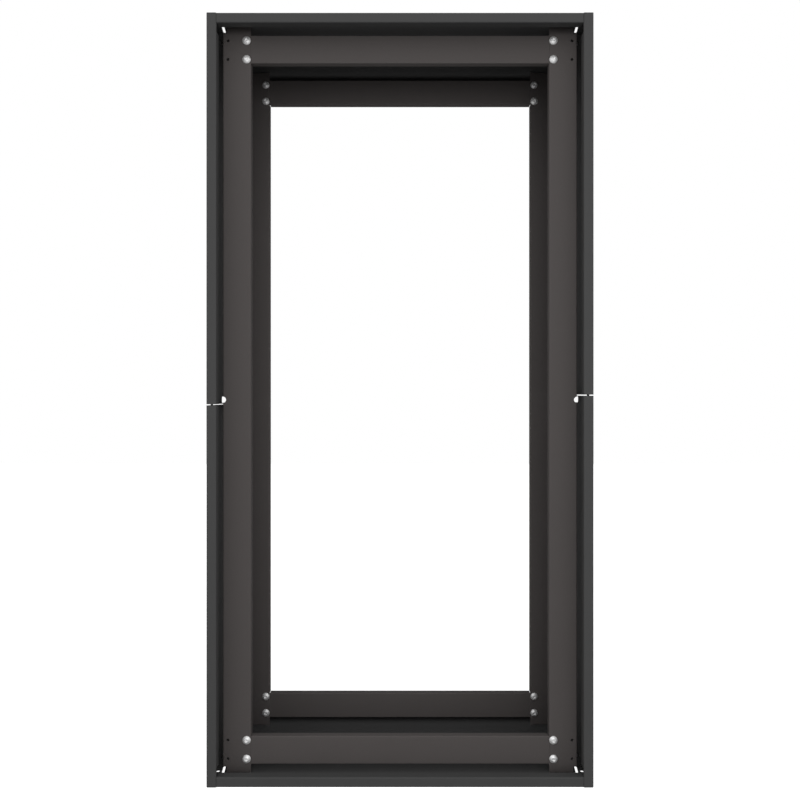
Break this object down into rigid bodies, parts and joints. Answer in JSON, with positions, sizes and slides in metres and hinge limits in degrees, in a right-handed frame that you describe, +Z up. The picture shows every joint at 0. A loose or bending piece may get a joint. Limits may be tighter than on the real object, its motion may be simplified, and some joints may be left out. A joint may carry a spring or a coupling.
{
  "type": "firewood log rack",
  "caption": "Tall open rectangular firewood rack of folded black sheet steel with bolted inner frames, open at the front and the rear.",
  "frame": {"origin": "middle of the footprint, on the floor", "axes": "+Z up along the height, +X across the width to the viewer's right, +Y towards the rear, so the front face is at -Y"},
  "size_m": [0.5, 0.2, 1],
  "materials": {
    "casing": "fine matt powder coat, anthracite",
    "frame": "smooth matt powder coat, warm black",
    "zinc_fasteners": "bright zinc plated",
    "black_fasteners": "black oxide"
  },
  "bodies": {
    "root": {"left_wall_upper": "casing", "left_wall_lower": "casing", "right_wall_upper": "casing", "right_wall_lower": "casing", "top_panel": "casing", "bottom_panel": "casing", "front_left_post": "frame", "front_right_post": "frame", "rear_left_post": "frame", "rear_right_post": "frame", "front_top_rail": "frame", "front_bottom_rail": "frame", "rear_top_rail": "frame", "rear_bottom_rail": "frame", "front_frame_screws": "zinc_fasteners", "rear_frame_screws": "zinc_fasteners", "front_frame_nuts": "zinc_fasteners", "rear_frame_nuts": "zinc_fasteners", "top_studs": "zinc_fasteners", "bottom_studs": "zinc_fasteners", "top_stud_nuts": "zinc_fasteners", "bottom_stud_nuts": "zinc_fasteners", "seam_bolts": "black_fasteners", "seam_nuts": "black_fasteners"}
  },
  "joints": []
}
